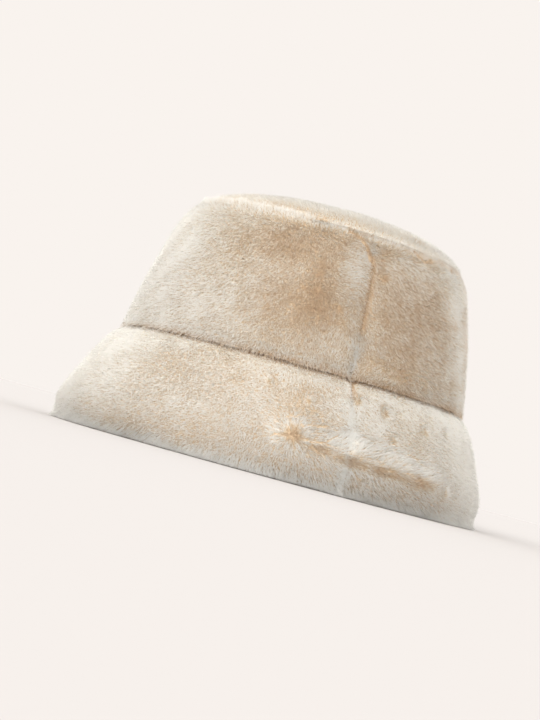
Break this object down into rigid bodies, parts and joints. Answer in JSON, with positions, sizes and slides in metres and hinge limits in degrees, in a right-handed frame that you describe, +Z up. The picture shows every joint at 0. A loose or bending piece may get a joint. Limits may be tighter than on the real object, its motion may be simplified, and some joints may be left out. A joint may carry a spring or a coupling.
{
  "type": "faux fur bucket hat",
  "caption": "Soft oval bucket hat of cream faux fur with a domed crown top, a sewn crown side and a thick turned-down brim that is fur on both sides.",
  "frame": {"origin": "on the floor, under the middle of the rim", "axes": "+Z up through the crown, -Y towards the front of the hat, the side seams at +X and -X"},
  "size_m": [0.2574, 0.2739, 0.1697],
  "materials": {
    "cream_fur": "soft plush pile, cream tips over light brown roots",
    "under_fur": "soft plush pile, browner where it is pressed and shaded"
  },
  "bodies": {
    "root": {"crown_top": "cream_fur", "crown_side_front": "cream_fur", "crown_side_back": "cream_fur", "brim_upper_front": "cream_fur", "brim_upper_back": "cream_fur", "brim_under_front": "under_fur", "brim_under_back": "under_fur"}
  },
  "joints": []
}
